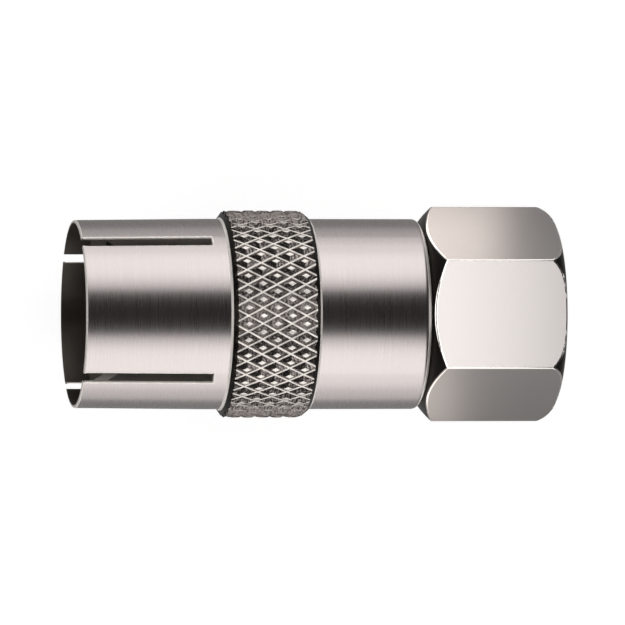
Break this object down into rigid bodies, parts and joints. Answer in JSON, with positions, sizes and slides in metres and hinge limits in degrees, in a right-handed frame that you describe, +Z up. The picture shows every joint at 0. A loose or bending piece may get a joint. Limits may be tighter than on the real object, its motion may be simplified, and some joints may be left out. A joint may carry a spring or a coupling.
{
  "type": "coaxial adapter",
  "caption": "Straight metal coaxial adapter: a slotted aerial socket with a knurled grip at one end and a screw-on plug with a free-turning hexagon nut at the other.",
  "frame": {"origin": "centre of the aerial socket's mouth, on the common axis", "axes": "+X along the common axis from the aerial socket to the screw-on plug, +Z up with one nut flat facing up and one facing down"},
  "size_m": [0.0285, 0.0126, 0.0122],
  "materials": {
    "nickel_body": "turned brass with satin nickel plating, fine marks round the axis",
    "nickel_nut": "hexagon brass bar with satin nickel plating",
    "nickel_ferrule": "turned brass with bright nickel plating",
    "contact_metal": "nickel plated spring bronze and drawn wire",
    "bead_plastic": "natural white moulded insulator"
  },
  "bodies": {
    "adapter": {"outer_body": "nickel_body", "ferrule": "nickel_ferrule", "socket_contact": "contact_metal", "centre_pin": "contact_metal", "socket_bead": "bead_plastic", "plug_bead": "bead_plastic"},
    "nut": {"coupling_nut": "nickel_nut"}
  },
  "joints": [
    {"name": "nut_spin", "type": "hinge", "parent": "adapter", "child": "nut", "pos_m": [0.0245, 0, 0], "axis": [1, 0, 0], "continuous": true}
  ]
}
